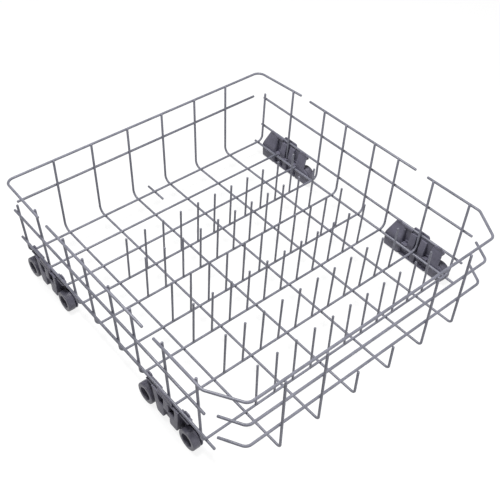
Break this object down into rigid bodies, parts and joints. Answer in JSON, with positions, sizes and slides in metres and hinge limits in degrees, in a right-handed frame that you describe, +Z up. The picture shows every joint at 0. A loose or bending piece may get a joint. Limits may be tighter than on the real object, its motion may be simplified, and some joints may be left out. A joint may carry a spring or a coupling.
{
  "type": "dishwasher basket",
  "caption": "Lower dishwasher basket: a shallow open tub of welded coated wire with rows of upright tines, clip-on moulded carriers and rollers along both sides.",
  "frame": {"origin": "centre of the bounding box in plan, at the level of the track under the rollers", "axes": "+X to the right side seen from the door, +Y to the back of the machine, +Z up; the chamfered front is at -Y"},
  "size_m": [0.5158, 0.5507, 0.1703],
  "materials": {
    "wire": "satin",
    "carrier": "satin",
    "roller": "matte"
  },
  "bodies": {
    "basket": {"carrier_front_left": "carrier", "carrier_front_right": "carrier", "carrier_rear_left": "carrier", "carrier_rear_right": "carrier", "cross_wire_1": "wire", "cross_wire_2": "wire", "cross_wire_3": "wire", "cross_wire_4": "wire", "cross_wire_5": "wire", "cross_wire_6": "wire", "cross_wire_7": "wire", "cross_wire_8": "wire", "cross_wire_9": "wire", "edge_left": "wire", "edge_right": "wire", "long_wire_1": "wire", "long_wire_2": "wire", "long_wire_3": "wire", "long_wire_4": "wire", "long_wire_5": "wire", "long_wire_6": "wire", "low_front": "wire", "low_left": "wire", "low_right": "wire", "mid_back": "wire", "mid_front": "wire", "mid_left": "wire", "mid_right": "wire", "post_left": "wire", "post_right": "wire", "rim_back": "wire", "rim_front": "wire", "rim_left": "wire", "rim_right": "wire", "stub": "wire", "tines_4": "wire", "tines_5": "wire", "tines_6": "wire", "tines_7": "wire", "tines_8": "wire", "tines_9": "wire"},
    "wheel_front_a_left": {"roller_front_a_left": "roller"},
    "wheel_front_a_right": {"roller_front_a_right": "roller"},
    "wheel_front_b_left": {"roller_front_b_left": "roller"},
    "wheel_front_b_right": {"roller_front_b_right": "roller"},
    "wheel_rear_a_left": {"roller_rear_a_left": "roller"},
    "wheel_rear_a_right": {"roller_rear_a_right": "roller"},
    "wheel_rear_b_left": {"roller_rear_b_left": "roller"},
    "wheel_rear_b_right": {"roller_rear_b_right": "roller"}
  },
  "joints": [
    {"name": "spin_front_a_left", "type": "hinge", "parent": "basket", "child": "wheel_front_a_left", "pos_m": [-0.2506, -0.18411, 0.017], "axis": [1, 0, 0], "continuous": true},
    {"name": "spin_front_a_right", "type": "hinge", "parent": "basket", "child": "wheel_front_a_right", "pos_m": [0.2506, -0.18411, 0.017], "axis": [1, 0, 0], "continuous": true},
    {"name": "spin_front_b_left", "type": "hinge", "parent": "basket", "child": "wheel_front_b_left", "pos_m": [-0.2506, -0.08811, 0.017], "axis": [1, 0, 0], "continuous": true},
    {"name": "spin_front_b_right", "type": "hinge", "parent": "basket", "child": "wheel_front_b_right", "pos_m": [0.2506, -0.08811, 0.017], "axis": [1, 0, 0], "continuous": true},
    {"name": "spin_rear_a_left", "type": "hinge", "parent": "basket", "child": "wheel_rear_a_left", "pos_m": [-0.2506, 0.13209, 0.017], "axis": [1, 0, 0], "continuous": true},
    {"name": "spin_rear_a_right", "type": "hinge", "parent": "basket", "child": "wheel_rear_a_right", "pos_m": [0.2506, 0.13209, 0.017], "axis": [1, 0, 0], "continuous": true},
    {"name": "spin_rear_b_left", "type": "hinge", "parent": "basket", "child": "wheel_rear_b_left", "pos_m": [-0.2506, 0.22809, 0.017], "axis": [1, 0, 0], "continuous": true},
    {"name": "spin_rear_b_right", "type": "hinge", "parent": "basket", "child": "wheel_rear_b_right", "pos_m": [0.2506, 0.22809, 0.017], "axis": [1, 0, 0], "continuous": true}
  ]
}
